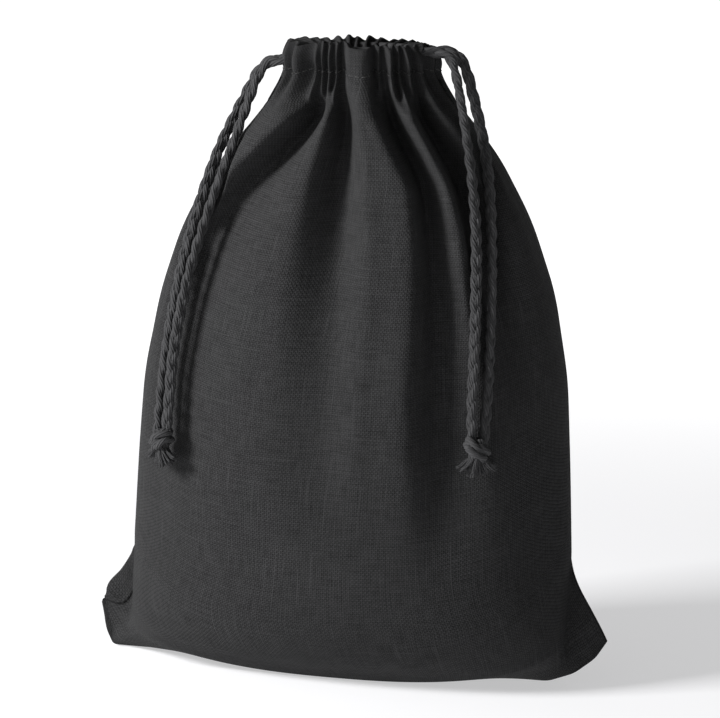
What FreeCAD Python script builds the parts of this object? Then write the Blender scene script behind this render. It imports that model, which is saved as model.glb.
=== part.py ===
import FreeCAD, Part
import math
import os

from FreeCAD import Placement, Rotation, Vector

# Drawstring gift sack, standing filled, in millimetres.
# +X is the sack's right side, -Y its front, +Z up. The origin is the middle of the underside.
# Two cloth panels are sewn along both sides and the bottom. Each panel's top edge is turned over
# into a channel. Two drawcords each run round both channels and come out at opposite sides,
# where their two ends are tied together in a knot with a short frayed tassel.

doc = FreeCAD.newDocument("gift_sack")
sheet = doc.addObject("Spreadsheet::Sheet", "sizes")

DRIVING_SIZES = [
    ("cloth_wall", 1.2, "thickness of a panel with its soft folds"),
    ("seam_allowance", 8.0, "width of the sewn edges inside the sack"),
    ("seam_thickness", 1.6, "both edges and their overlock thread together"),
    ("seam_gap", 0.6, "from the panels' inner faces to the solid sewn edge"),
    ("corner_height", 30.0, "where the side allowances stop above the bottom corners"),
    ("cord_diameter", 3.8, "drawcord"),
    ("cord_play", 0.6, "what a passage is wider than the cord in it, on the diameter"),
    ("neck_lean", 4.6, "how far the neck stands to the right of the underside's middle"),
    ("channel_base", 228.3, "underside of the channels"),
    ("channel_rise", 11.7, "height of the channels"),
    ("channel_half_length", 18.0, "half the length of a channel along X"),
    ("channel_offset", 11.0, "from the middle of the mouth to the middle of a channel"),
    ("channel_end_offset", 4.0, "the same at the ends of a channel"),
    ("channel_thickness", 5.8, "front to back, hem cloth included"),
    ("hem_wall", 0.7, "cloth on each side of the tunnel"),
    ("end_length", 9.2, "length of a gathered channel end along X"),
    ("end_depth", 13.4, "front to back"),
    ("end_gap", 0.3, "between a channel and the gathered end beside it"),
    ("thread_diameter", 0.5, "stitching thread"),
    ("stitch_height", 1.3, "hem stitching above the underside of the channel"),
    ("exit_reach", 1.2, "how far the cord stands out before it can swing"),
    ("leg_spacing", 4.2, "between the middles of two legs where they enter the knot"),
    ("knot_width", 11.0, "overhand knot, across"),
    ("knot_depth", 8.0, "overhand knot, front to back"),
    ("knot_height", 10.0, "overhand knot, along the cord"),
    ("tassel_length", 9.0, "frayed cord ends below the knot"),
    ("tassel_tuck", 1.5, "how far the frayed ends reach up under the knot"),
    ("tassel_top_width", 5.0, "across, under the knot"),
    ("tassel_foot_width", 13.0, "across, at the loose ends"),
    ("tassel_thickness", 4.4, "front to back"),
]

# The sack's outline at each level: height, half width, half depth, how pointed its two side
# edges are (1 is an ellipse; a pillow corner is sharper) and its share of the neck's lean.
LEVELS = [
    ("foot", 0.0, 90.0, 16.0, 1.3, 0.0),
    ("toe", 5.0, 93.5, 27.0, 1.35, 0.0),
    ("ear", 18.0, 99.0, 37.0, 1.5, 0.0),
    ("ear_top", 29.0, 92.0, 41.0, 1.35, 0.0),
    ("hip", 43.0, 84.0, 43.5, 1.1, 0.0),
    ("belly", 80.0, 82.5, 44.0, 1.0, 0.0),
    ("chest", 115.0, 80.5, 41.0, 1.0, 0.1),
    ("rib", 146.0, 74.0, 35.5, 1.0, 0.25),
    ("shoulder", 174.0, 64.0, 29.0, 1.0, 0.5),
    ("throat", 198.0, 51.5, 22.5, 1.05, 0.75),
    ("collar", 214.0, 37.5, 17.5, 1.12, 0.9),
    ("neck", 228.0, 27.5, 13.6, 1.3, 1.0),
]
LEVEL_SIZES = ["height", "half_width", "half_depth", "edge", "lean_share"]

row = 1
for alias, value, note in DRIVING_SIZES:
    sheet.set(f"A{row}", str(value))
    sheet.set(f"B{row}", note)
    sheet.setAlias(f"A{row}", alias)
    row += 1
for level, *values in LEVELS:
    for name, value in zip(LEVEL_SIZES, values):
        sheet.set(f"A{row}", str(value))
        sheet.setAlias(f"A{row}", f"{level}_{name}")
        row += 1
doc.recompute()

parts = {}


def size(alias):
    """A driving size from the sheet."""
    return float(sheet.get(alias))


def make(kind, name, **expressions):
    """A document object whose properties follow the sheet."""
    thing = doc.addObject(kind, name)
    for prop, expression in expressions.items():
        thing.setExpression(prop, expression)
    return thing


def place(thing, x="0", y="0", z="0", leans=True):
    """Binds the place of an object to the sheet. What is on the neck leans with it."""
    lean = " + sizes.neck_lean" if leans else ""
    thing.setExpression(".Placement.Base.x", x + lean)
    thing.setExpression(".Placement.Base.y", y)
    thing.setExpression(".Placement.Base.z", z)
    return thing


def boolean(kind, name, base, tool):
    """A cut, common or fuse of two document objects."""
    thing = doc.addObject(kind, name)
    if kind == "Part::MultiFuse":
        thing.Shapes = [base, tool]
    else:
        thing.Base = base
        thing.Tool = tool
    return thing


def keep(thing, node):
    """Marks a document object as one of the sack's pieces."""
    thing.Label = node
    parts[node] = thing
    return thing


def shaped(name, shape):
    """A document object with a shape of its own, at the origin."""
    thing = doc.addObject("Part::Feature", name)
    thing.Shape = shape
    thing.Placement = Placement()
    return thing


# ---------------------------------------------------------------- cloth panels and seams
ARC_STEPS = 16
LOFT_DEGREE = 3
# How far the hollow is drawn past the neck so that it opens it.
PAST_NECK = 3.0
# The lowest outline of a shrunk body has at least this many insets between it and the next one.
LEAST_STEP = 2


def half_outline(level, inset):
    """The front half of the sack's outline at one level, from side to side and closed along Y = 0."""
    half_width = size(f"{level}_half_width") - inset
    half_depth = size(f"{level}_half_depth") - inset
    height = max(size(f"{level}_height"), inset)
    edge = size(f"{level}_edge")
    middle = size(f"{level}_lean_share") * size("neck_lean")
    points = []
    for step in range(ARC_STEPS + 1):
        angle = math.pi * step / ARC_STEPS
        across = middle + half_width * math.cos(angle)
        out = half_depth * max(math.sin(angle), 0.0) ** edge
        points.append(Vector(across, -out, height))
    curve = Part.BSplineCurve()
    curve.interpolate(Points=points, Parameters=[step / ARC_STEPS for step in range(ARC_STEPS + 1)])
    return Part.Wire([curve.toShape(), Part.makeLine(points[-1], points[0])])


def half_body(inset):
    """A solid of the front half of the sack, shrunk by inset, open upward past the neck if inset."""
    lowest = LEVELS[0][0]
    wires = [half_outline(level, inset) for level, *_ in LEVELS
             if level == lowest or size(f"{level}_height") >= LEAST_STEP * inset]
    if inset:
        past_neck = half_outline(LEVELS[-1][0], inset)
        past_neck.translate(Vector(0, 0, PAST_NECK))
        wires.append(past_neck)
    return Part.makeLoft(wires, True, False, False, LOFT_DEGREE)


def mirrored(name, source):
    """The same piece on the other side of the XZ plane."""
    twin = doc.addObject("Part::Mirroring", name)
    twin.Source = source
    twin.Base = Vector(0, 0, 0)
    twin.Normal = Vector(0, 1, 0)
    return twin


front_hollow = shaped("front_hollow", half_body(size("cloth_wall")))
front_filled = shaped("front_filled", half_body(0))
front_panel = keep(boolean("Part::Cut", "front_cloth", front_filled, front_hollow), "front_panel")
keep(mirrored("back_cloth", front_panel), "back_panel")

FLAT = 0.01


def middle_face(solid):
    """The flat face of a front half, in the plane where the two panels meet."""
    return [face for face in solid.Faces if face.BoundBox.YLength < FLAT][0]


# The sewn edges stand inward along both sides and the bottom, all in the plane between the panels.
seam_rim = half_body(size("cloth_wall") + size("seam_gap"))
seam_core = half_body(size("cloth_wall") + size("seam_allowance"))
seam_face = middle_face(seam_rim).cut(middle_face(seam_core))
seam_band = make("Part::Extrusion", "seam_band", LengthFwd="sizes.seam_thickness")
seam_band.Base = shaped("seam_face", seam_face)
seam_band.DirMode = "Custom"
seam_band.Dir = Vector(0, 1, 0)
seam_band.Symmetric = True
seam_band.Solid = True

SEAM_SPACE = {
    "left_side_seam": ("-sizes.ear_half_width", "sizes.corner_height", "sizes.neck_height"),
    "right_side_seam": ("0", "sizes.corner_height", "sizes.neck_height"),
    "bottom_seam": ("-sizes.ear_half_width", "0", "sizes.corner_height"),
}
for node, (left, low, high) in SEAM_SPACE.items():
    across = "2 * sizes.ear_half_width" if node == "bottom_seam" else "sizes.ear_half_width"
    space = make("Part::Box", node + "_space", Length=across, Width="2 * sizes.seam_thickness",
                 Height=f"{high} - {low}")
    place(space, left, "-sizes.seam_thickness", low, leans=False)
    keep(boolean("Part::Common", node + "_strip", seam_band, space), node)

# ---------------------------------------------------------------- channels at the mouth
# A channel is a flat arc: its middle line passes channel_offset at the middle and
# channel_end_offset at both ends.
sagitta = size("channel_offset") - size("channel_end_offset")
arc_radius = (size("channel_half_length") ** 2 + sagitta ** 2) / (2 * sagitta)
arc_centre = arc_radius - size("channel_offset")
ARC = "((sizes.channel_half_length ^ 2 + (sizes.channel_offset - sizes.channel_end_offset) ^ 2)" \
      " / (2 * (sizes.channel_offset - sizes.channel_end_offset)))"
TUNNEL = "(sizes.channel_thickness - 2 * sizes.hem_wall)"
CHANNEL_REACH = "(sizes.channel_offset + sizes.channel_thickness)"


def channel_space(name, front):
    """A box round the front or back channel that ends where the channel ends."""
    space = make("Part::Box", name + "_space", Length="2 * sizes.channel_half_length",
                 Width=CHANNEL_REACH, Height="sizes.channel_rise")
    return place(space, "-sizes.channel_half_length", f"-{CHANNEL_REACH}" if front else "0",
                 "sizes.channel_base")


def arc_band(name, thickness, low, rise):
    """A band of that thickness along the front channel's middle line, cut off at its ends."""
    outer = make("Part::Cylinder", name + "_outer", Radius=f"{ARC} + {thickness} / 2", Height=rise)
    inner = make("Part::Cylinder", name + "_inner", Radius=f"{ARC} - {thickness} / 2", Height=rise)
    for cylinder in (outer, inner):
        place(cylinder, "0", f"{ARC} - sizes.channel_offset", low)
    ring = boolean("Part::Cut", name + "_ring", outer, inner)
    return boolean("Part::Common", name + "_band", ring, channel_space(name, True))


cloth = arc_band("hem", "sizes.channel_thickness", "sizes.channel_base", "sizes.channel_rise")
tunnel = arc_band("tunnel", TUNNEL, "sizes.channel_base + sizes.hem_wall",
                  "sizes.channel_rise - 2 * sizes.hem_wall")
front_channel = keep(boolean("Part::Cut", "front_hem", cloth, tunnel), "front_channel")
keep(mirrored("back_hem", front_channel), "back_channel")


def arc_rod(name, section_radius, radius, height, front):
    """A round cord or thread along a channel, cut off flat at the channel's two ends."""
    hoop = make("Part::Torus", name + "_hoop", Radius1=radius, Radius2=section_radius)
    place(hoop, "0", f"{'' if front else '-'}({ARC} - sizes.channel_offset)", height)
    return boolean("Part::Common", name, hoop, channel_space(name, front))


LOW_CORD = "sizes.channel_base + sizes.channel_rise / 2 - sizes.cord_diameter / 2 - sizes.cord_play / 4"
HIGH_CORD = "sizes.channel_base + sizes.channel_rise / 2 + sizes.cord_diameter / 2 + sizes.cord_play / 4"
CORD_HEIGHT = {"left": LOW_CORD, "right": HIGH_CORD}

for rim, front in (("front", True), ("back", False)):
    node = rim + "_channel_stitching"
    thread = arc_rod(rim + "_thread", "sizes.thread_diameter / 2",
                     f"{ARC} + sizes.channel_thickness / 2 + sizes.thread_diameter / 2",
                     "sizes.channel_base + sizes.stitch_height", front)
    keep(thread, node)
    for side in ("left", "right"):
        run = arc_rod(f"{side}_{rim}_rod", "sizes.cord_diameter / 2", ARC, CORD_HEIGHT[side], front)
        keep(run, f"{side}_cord_{rim}_run")

# ---------------------------------------------------------------- gathered ends with the cord exits
PASSAGE = "(sizes.cord_diameter + sizes.cord_play)"
INNER_FACE = "(sizes.channel_half_length + sizes.end_gap)"
OUTER_FACE = "(sizes.channel_half_length + sizes.end_gap + sizes.end_length)"
PIVOT = "(sizes.channel_half_length + sizes.end_gap + sizes.end_length + sizes.exit_reach)"

for side, sign, angle in (("left", -1, 90), ("right", 1, -90)):
    other = "right" if side == "left" else "left"
    own_height = CORD_HEIGHT[side]
    other_height = CORD_HEIGHT[other]

    block = make("Part::Box", side + "_end_block", Length="sizes.end_length", Width="sizes.end_depth",
                 Height="sizes.channel_rise")
    block_start = INNER_FACE if sign > 0 else f"-{OUTER_FACE}"
    place(block, block_start, "-sizes.end_depth / 2", "sizes.channel_base")
    body = block
    for lane, y_sign in (("front", "-"), ("back", "")):
        bore = make("Part::Cylinder", f"{side}_{lane}_bore", Radius=f"{PASSAGE} / 2",
                    Height="sizes.end_length + 2 * sizes.end_gap")
        bore_start = f"{INNER_FACE} - sizes.end_gap" if sign > 0 else f"-{OUTER_FACE} - sizes.end_gap"
        place(bore, bore_start, f"{y_sign}sizes.channel_end_offset", own_height)
        bore.Placement.Rotation = Rotation(Vector(0, 1, 0), 90)
        body = boolean("Part::Cut", f"{side}_end_with_{lane}_bore", body, bore)
    reach = "sizes.channel_end_offset + sizes.cord_diameter / 2 + sizes.cord_play"
    pocket = make("Part::Box", side + "_return_pocket", Length=reach,
                  Width=f"2 * sizes.channel_end_offset + {PASSAGE}", Height=PASSAGE)
    pocket_start = INNER_FACE if sign > 0 else f"-{INNER_FACE} - ({reach})"
    place(pocket, pocket_start, f"-sizes.channel_end_offset - {PASSAGE} / 2",
          f"{other_height} - {PASSAGE} / 2")
    keep(boolean("Part::Cut", side + "_end_cut", body, pocket), side + "_channel_end")

    bend = make("Part::Torus", other + "_return_bend", Radius1="sizes.channel_end_offset",
                Radius2="sizes.cord_diameter / 2", Angle3="180")
    place(bend, f"{'' if sign > 0 else '-'}{INNER_FACE}", "0", other_height)
    bend.Placement.Rotation = Rotation(Vector(0, 0, 1), angle)
    keep(bend, other + "_cord_return")

    for lane, y_sign in (("front", "-"), ("back", "")):
        strand = make("Part::Cylinder", f"{side}_{lane}_strand", Radius="sizes.cord_diameter / 2",
                      Height=f"{PIVOT} - {INNER_FACE}")
        start = INNER_FACE if sign > 0 else f"-{PIVOT}"
        place(strand, start, f"{y_sign}sizes.channel_end_offset", own_height)
        strand.Placement.Rotation = Rotation(Vector(0, 1, 0), 90)
        tip = make("Part::Sphere", f"{side}_{lane}_tip", Radius="sizes.cord_diameter / 2")
        place(tip, f"{'' if sign > 0 else '-'}{PIVOT}", f"{y_sign}sizes.channel_end_offset", own_height)
        keep(boolean("Part::MultiFuse", f"{side}_{lane}_exit", strand, tip), f"{side}_cord_{lane}_exit")

# ---------------------------------------------------------------- free legs, knots and tassels
ARC_SHARE = 0.45

# Each leg's route, from just outside its exit to its knot.
LEG_ROUTES = {
    "left_cord_back_leg": [
        (-26.4, 4.0, 232.1), (-31.2, 3.9, 231.4), (-35.2, 3.2, 228.0), (-38.6, 1.8, 221.0),
        (-43.0, -1.4, 211.5), (-48.0, -8.4, 198.5), (-53.2, -16.0, 180.0), (-59.0, -22.4, 156.0),
        (-63.6, -27.4, 130.0), (-66.0, -30.6, 108.0),
    ],
    "left_cord_front_leg": [
        (-26.4, -4.0, 232.1), (-30.4, -4.1, 231.0), (-33.4, -5.0, 226.8), (-35.8, -7.4, 219.0),
        (-38.8, -11.6, 208.0), (-43.6, -16.8, 193.5), (-49.6, -21.8, 174.0), (-56.0, -26.6, 150.0),
        (-60.4, -30.8, 126.0), (-61.8, -33.0, 107.0),
    ],
    "right_cord_back_leg": [
        (35.6, 4.0, 236.2), (40.4, 3.9, 235.0), (43.8, 2.8, 229.6), (46.6, 0.4, 221.0),
        (50.2, -3.6, 210.4), (54.4, -10.4, 196.5), (57.4, -17.8, 178.0), (59.2, -24.4, 154.0),
        (60.4, -30.4, 128.0), (60.8, -34.0, 108.0),
    ],
    "right_cord_front_leg": [
        (35.6, -4.0, 236.2), (39.4, -4.3, 234.4), (41.6, -5.8, 228.4), (44.0, -8.8, 219.4),
        (47.0, -13.4, 207.5), (50.4, -18.6, 191.5), (53.2, -24.2, 171.5), (54.2, -29.8, 149.0),
        (55.4, -35.0, 126.0), (55.6, -38.2, 108.0),
    ],
}
KNOT_PLACES = {"left": (-65.2, -33.6, 92.5), "right": (58.2, -37.6, 93.5)}
# The knots lie with their flat side to the cloth, turned this far about Z, in degrees.
KNOT_TURNS = {"left": -31.0, "right": 21.0}


def rounded_path(points):
    """Straight runs joined by tangent arcs, each as large as its two runs allow."""
    corners = [Vector(*point) for point in points]
    edges = []
    radii = []
    at = corners[0]
    for before, corner, after in zip(corners, corners[1:], corners[2:]):
        back = before - corner
        ahead = after - corner
        reach = ARC_SHARE * min(back.Length, ahead.Length)
        turn = math.pi - back.getAngle(ahead)
        radii.append(reach / math.tan(turn / 2))
        back.normalize()
        ahead.normalize()
        start = corner + back * reach
        end = corner + ahead * reach
        inward = back + ahead
        inward.normalize()
        centre_reach = math.hypot(reach, radii[-1])
        middle = corner + inward * (centre_reach - radii[-1])
        edges.append(Part.LineSegment(at, start).toShape())
        edges.append(Part.Arc(start, middle, end).toShape())
        at = end
    edges.append(Part.LineSegment(at, corners[-1]).toShape())
    return Part.Wire(edges), radii


def cord_tube(points, diameter):
    """A round cord along a path, and what the path measures."""
    path, radii = rounded_path(points)
    heading = Vector(*points[1]) - Vector(*points[0])
    section = Part.Wire([Part.makeCircle(diameter / 2, Vector(*points[0]), heading)])
    tube = path.makePipeShell([section], True, False)
    return tube, path.Length, radii


def knot_placement(side, x=0.0, y=0.0, z=0.0):
    """A place measured from the middle of a knot, along its width, its depth and up."""
    turned = Placement(Vector(*KNOT_PLACES[side]), Rotation(Vector(0, 0, 1), KNOT_TURNS[side]))
    return turned.multiply(Placement(Vector(x, y, z), Rotation()))


legs = {}
for node, route in LEG_ROUTES.items():
    side = node.split("_")[0]
    inner = "front" in node
    toward_middle = 1 if side == "left" else -1
    beside = toward_middle * size("leg_spacing") / 2 * (1 if inner else -1)
    end = knot_placement(side, x=beside).Base
    tube, length, radii = cord_tube(route + [tuple(end)], size("cord_diameter"))
    expected = math.pi * (size("cord_diameter") / 2) ** 2 * length
    print(f"{node}: {length:.1f} mm along, radii {[round(r, 1) for r in radii]},",
          f"volume is {tube.Volume / expected:.4f} of section times length")
    legs[node] = shaped(node + "_whole", tube)

for side in ("left", "right"):
    knot = make("Part::Ellipsoid", side + "_knot_ball", Radius1="sizes.knot_height / 2",
                Radius2="sizes.knot_width / 2", Radius3="sizes.knot_depth / 2")
    knot.Placement = knot_placement(side)
    keep(knot, side + "_knot")
    for lane in ("front", "back"):
        node = f"{side}_cord_{lane}_leg"
        keep(boolean("Part::Cut", node + "_to_knot", legs[node], knot), node)
    # The wedge's own Y runs down the tassel.
    fray = make("Part::Wedge", side + "_fray", Ymax="sizes.tassel_length + sizes.tassel_tuck",
                Xmin="-sizes.tassel_top_width / 2", Xmax="sizes.tassel_top_width / 2",
                X2min="-sizes.tassel_foot_width / 2", X2max="sizes.tassel_foot_width / 2",
                Zmin="-sizes.tassel_thickness / 2", Zmax="sizes.tassel_thickness / 2",
                Z2min="-sizes.tassel_thickness / 2", Z2max="sizes.tassel_thickness / 2")
    fray.Ymin = 0
    under_knot = knot_placement(side, z=size("tassel_tuck") - size("knot_height") / 2)
    fray.Placement = under_knot.multiply(Placement(Vector(0, 0, 0), Rotation(Vector(1, 0, 0), -90)))
    keep(boolean("Part::Cut", side + "_fray_below_knot", fray, knot), side + "_tassel")

# ---------------------------------------------------------------- checks and files
doc.recompute()
for thing in doc.Objects:
    if "Invalid" in thing.State or "Error" in thing.State:
        raise RuntimeError(f"{thing.Name} failed: {thing.State}")
for node, thing in parts.items():
    if thing.Shape.isNull() or not thing.Shape.isValid():
        raise RuntimeError(f"{node} has no valid shape")
    print(f"{node}: {len(thing.Shape.Solids)} solid, {thing.Shape.Volume:.1f} mm3")

os.makedirs("parts", exist_ok=True)
for node, thing in parts.items():
    thing.Shape.exportStep(os.path.join("parts", node + ".step"))
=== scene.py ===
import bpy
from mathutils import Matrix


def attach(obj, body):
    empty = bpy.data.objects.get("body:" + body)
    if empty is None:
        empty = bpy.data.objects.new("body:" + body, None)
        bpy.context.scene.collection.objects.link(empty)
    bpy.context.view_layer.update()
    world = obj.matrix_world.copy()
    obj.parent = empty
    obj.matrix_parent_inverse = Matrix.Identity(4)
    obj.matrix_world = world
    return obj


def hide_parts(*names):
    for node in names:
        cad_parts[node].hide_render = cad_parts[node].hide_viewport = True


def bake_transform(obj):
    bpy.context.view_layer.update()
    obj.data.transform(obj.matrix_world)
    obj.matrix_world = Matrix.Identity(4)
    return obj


bl_info = {
    "name": "Drawstring Gift Sack",
    "version": (1, 0, 0),
    "blender": (4, 5, 0),
    "location": "View3D > Sidebar > Gift Sack",
    "description": "Cloth sack with a gathered mouth, two drawcords, their knots and frayed tassels",
    "category": "Object",
}

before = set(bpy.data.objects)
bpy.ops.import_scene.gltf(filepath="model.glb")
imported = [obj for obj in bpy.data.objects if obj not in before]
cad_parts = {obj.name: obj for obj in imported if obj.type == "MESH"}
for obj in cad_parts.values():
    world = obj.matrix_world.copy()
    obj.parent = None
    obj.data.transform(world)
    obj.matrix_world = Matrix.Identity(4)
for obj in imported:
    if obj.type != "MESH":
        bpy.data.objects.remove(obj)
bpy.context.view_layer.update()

import math

import bpy
import numpy as np
from bpy.props import FloatProperty, FloatVectorProperty, IntProperty, PointerProperty
from mathutils import Vector

MM = 0.001

# The sack's outline at each height: height, half width, half depth, how pointed its two side
# edges are, and its share of the neck's lean. All lengths in millimetres.
LEVELS = np.array([
    (0.0, 94.0, 13.0, 0.8, -0.3),
    (5.0, 98.0, 25.0, 0.8, -0.3),
    (18.0, 102.5, 37.0, 0.85, -0.2),
    (29.0, 95.0, 41.0, 0.9, -0.1),
    (43.0, 86.0, 43.5, 1.05, 0.05),
    (80.0, 83.2, 44.0, 1.0, 0.3),
    (115.0, 80.8, 41.0, 1.0, 0.5),
    (146.0, 74.6, 35.5, 1.0, 0.75),
    (174.0, 64.5, 29.0, 1.0, 0.85),
    (198.0, 51.0, 22.5, 1.05, 0.95),
    (214.0, 37.0, 18.4, 1.15, 1.0),
    (229.6, 26.0, 15.6, 1.2, 1.0),
])
NECK_LEAN = 4.6
SEAM_HEIGHT = 229.6
RIM_TOP = 240.0

# Where the bottom seam lies: distance across, and height above the floor.
BOTTOM_SEAM = np.array([
    (-100.5, 18.0), (-99.0, 7.0), (-96.5, 0.5), (-88.0, 0.4),
    (78.0, 0.6), (88.0, 4.5), (96.0, 11.0), (100.5, 18.0),
])
BOTTOM_SEAM_SHARES = [0.0, 0.045, 0.085, 0.135, 0.865, 0.915, 0.955, 1.0]
# How far the sack's foot is turned against its neck: forward on the right, back on the left.
FOOT_TURN = 0.06

# The climb of the cloth up the middle of a panel: length along the cloth, and height.
MIDDLE_CLIMB = np.array([
    (0.0, 0.8), (16.0, 1.0), (28.0, 5.0), (44.4, 18.0), (56.0, 29.0), (70.3, 43.0), (107.0, 80.0),
    (142.0, 115.0), (174.0, 146.0), (202.5, 174.0), (227.5, 198.0), (244.0, 214.0), (260.0, 229.6),
])
UNDERSIDE_LENGTH = 16.0
CORNER_HEIGHT = 18.0

# The filled belly is narrower than the cloth at the bottom, where the two corners stand out as
# flat ears.
BELLY_HALF_WIDTH = 85.5
EAR_THICKNESS = 4.5

# Folds of each panel from its left to its right edge, at several heights: place along the edge,
# and how far in (-1) or out (1) the cloth stands there. The same fold has the same place in each
# list, so that it runs on from one height to the next.
FRONT_FOLDS = [
    (50.0, [(0.0, 0.0), (0.09, 0.1), (0.15, 0.0), (0.38, 0.1), (0.49, 0.0), (0.57, 0.3), (0.65, 0.6),
            (0.72, -0.5), (0.81, 0.1), (0.86, 0.0), (0.93, -0.3), (1.0, 0.0)]),
    (114.0, [(0.0, 0.0), (0.09, 0.3), (0.15, -0.3), (0.38, 0.4), (0.49, -0.4), (0.57, 0.6), (0.635, 1.1),
             (0.705, -1.1), (0.79, 0.2), (0.86, -0.3), (0.93, 0.1), (1.0, 0.0)]),
    (165.0, [(0.0, 0.0), (0.11, 0.9), (0.155, -0.7), (0.38, 0.8), (0.49, -1.0), (0.58, 0.9), (0.665, 1.2),
             (0.71, -1.1), (0.775, 0.9), (0.83, -1.1), (0.91, 0.4), (1.0, 0.0)]),
    (190.0, [(0.0, 0.0), (0.15, 1.1), (0.21, -0.9), (0.4, 0.9), (0.475, -0.9), (0.58, 1.0), (0.675, 1.3),
             (0.72, -1.2), (0.78, 1.1), (0.83, -1.4), (0.91, 0.4), (1.0, 0.0)]),
    (214.0, [(0.0, 0.0), (0.27, 1.1), (0.355, -1.0), (0.43, 0.9), (0.475, -0.8), (0.56, 1.1), (0.61, 1.2),
             (0.665, -1.2), (0.74, 1.2), (0.81, -1.3), (0.88, 0.4), (1.0, 0.0)]),
]
BACK_FOLDS = [
    (66.0, [(0.0, 0.0), (0.1, 0.1), (0.19, -0.1), (0.3, 0.5), (0.41, -0.3), (0.5, 0.2), (0.575, -0.2),
            (0.66, 0.4), (0.77, -0.3), (0.88, 0.1), (1.0, 0.0)]),
    (150.0, [(0.0, 0.0), (0.1, 0.6), (0.19, -0.8), (0.32, 1.0), (0.41, -0.9), (0.5, 0.6), (0.575, -1.0),
             (0.68, 1.0), (0.78, -1.0), (0.88, 0.7), (1.0, 0.0)]),
    (214.0, [(0.0, 0.0), (0.12, 0.8), (0.21, -1.0), (0.33, 1.1), (0.4, -1.0), (0.48, 1.0), (0.56, -1.2),
             (0.65, 1.0), (0.75, -1.1), (0.86, 0.8), (1.0, 0.0)]),
]
LOW_FOLD_DEPTH = 4.6
# Pleats on the cords in the front channel, in the same form: narrow ones beside the middle, and a
# wide one in the middle.
FRONT_PLEATS = np.array([
    (0.0, 0.0), (0.03, 0.5), (0.055, -0.4), (0.085, 0.6), (0.124, -0.8), (0.2, 1.05), (0.282, -1.0),
    (0.304, 0.3), (0.326, -0.9), (0.345, 0.35), (0.363, -1.0), (0.385, 0.45), (0.408, -0.9),
    (0.428, 0.4), (0.448, -1.1), (0.5, 0.85), (0.565, 1.15), (0.6, 0.9), (0.622, -1.2), (0.648, 0.3),
    (0.674, -0.8), (0.705, 1.0), (0.736, -0.9), (0.753, 0.5), (0.771, -0.8), (0.8, 0.9),
    (0.83, -0.9), (0.87, 0.6), (0.921, -0.8), (0.96, 0.3), (1.0, 0.0),
])
BACK_PLEAT_SEED = 23

# How the folds are shaped, in millimetres. Between the two gathering heights the folds give way to
# pleats, which are shallower, and shallower still where they go in.
OUTLINE_POINTS = 1441
GATHERING_HEIGHTS = (212.0, 229.0)
DEEPEST_FOLD = 8.2
SHALLOWER_PLEATS = 3.6
SOFTER_VALLEYS = 0.55
FLAT_BESIDE_SEAM = 0.05
LOW_FOLD_HEIGHTS = (35.0, 100.0)
DEPTH_HALVINGS = 18
# Where a fold stands out it hangs lower, and the stitched line with it.
FOLD_HANG = 0.28
FOLD_HANG_HEIGHTS = (206.0, 229.0)
EAR_FADE_HEIGHTS = (30.0, 60.0)

# Above its left ear the sack is turned by this much, so that its side seam comes round to the front.
SEAM_SLIDE = 11.0
SLIDE_START_HEIGHTS = (19.0, 26.0)
SLIDE_END_HEIGHTS = (36.0, 62.0)
LEAST_SLIDE = 0.05
EAR_TIP_REACH = 2.4
EAR_TIP_FULL_SLIDE = 2.5
EAR_TIP_HEIGHTS = (22.0, 34.0)
FOOT_TURN_HEIGHTS = (12.0, 90.0)

# The shallow groove that a hanging cord presses into the cloth. The sack is flatter than it is
# wide, so its cloth faces the front more than its places say.
FREE_CORD_TOP = 224.0
GROOVE_STEP = 1.5
GROOVE_FACING = (0.45, 1.0, 0.0)
GROOVE_CLEARANCE = 2.7
GROOVE_REACH = 9.0
GROOVE_STEEPNESS = 0.12
FLOOR_CLEARANCE = 0.3

# Settling. Cloth solvers want pieces about a metre across, so it runs at this scale.
SETTLING_SCALE = 0.01
PANEL_RISE = 254.0
HELD_BY_THE_FILLING = 0.35
ROWS_HELD_ON_THE_CORD = 3

# The hem. The channels' middle line is a flat arc, the cords lie on it, and the inner layer
# passes inside them.
HEM_STEPS = 9
HEM_RISE = RIM_TOP - SEAM_HEIGHT
HEM_BULGE = 1.1
HEM_DRAWN_BACK = 0.6
HEM_FLATTER_PLEATS = 0.3
HEM_FACING = 0.28
HEM_ROUNDING = 7
INNER_TOP_SHARE = 0.985
INNER_PLEATS = 0.12
INNER_WIDTH_SHARE = 0.74
TUCK_START = (0.0, 0.17)
TUCK_END = (0.86, 1.0)
CHANNEL_HALF_LENGTH = 18.0
CHANNEL_OFFSET = 11.0
CHANNEL_BEND = 26.64
INSIDE_THE_CORDS = 3.1
# The rim wavers, and drops and draws in a little towards the right.
RIM_WAVERS = 34
RIM_WAVER = (-0.9, 0.4)
RIM_DROP = 0.9
RIM_DROP_PLACES = (2.0, 26.0)
RIM_LOWEST = -1.1
RIM_DRAWN_IN = 2.6
RIM_DRAWN_IN_PLACES = (20.0, 30.6)


# ---------------------------------------------------------------- sizes and colours
class SackSizes(bpy.types.PropertyGroup):
    cloth_width: FloatProperty(
        name="Cloth width", description="Width of a flat panel between its side seams",
        default=0.2, unit="LENGTH")
    cloth_height: FloatProperty(
        name="Cloth height", description="Height of a flat panel, hem turned out",
        default=0.28, unit="LENGTH")
    cloth_thickness: FloatProperty(
        name="Cloth thickness", description="Thickness of one layer",
        default=0.00045, unit="LENGTH")
    columns: IntProperty(
        name="Columns", description="Cells across a panel in the settling", default=100)
    rows: IntProperty(
        name="Rows", description="Cells up a panel in the settling", default=124)
    pleats: IntProperty(
        name="Pleats", description="Narrow pleats on the cords in the back channel", default=15)
    settle_steps: IntProperty(
        name="Settling steps", description="Frames that the cloth settles for", default=30)
    thread_pitch: FloatProperty(
        name="Thread pitch", description="Distance between two threads of the weave",
        default=0.00074, unit="LENGTH")


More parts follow.
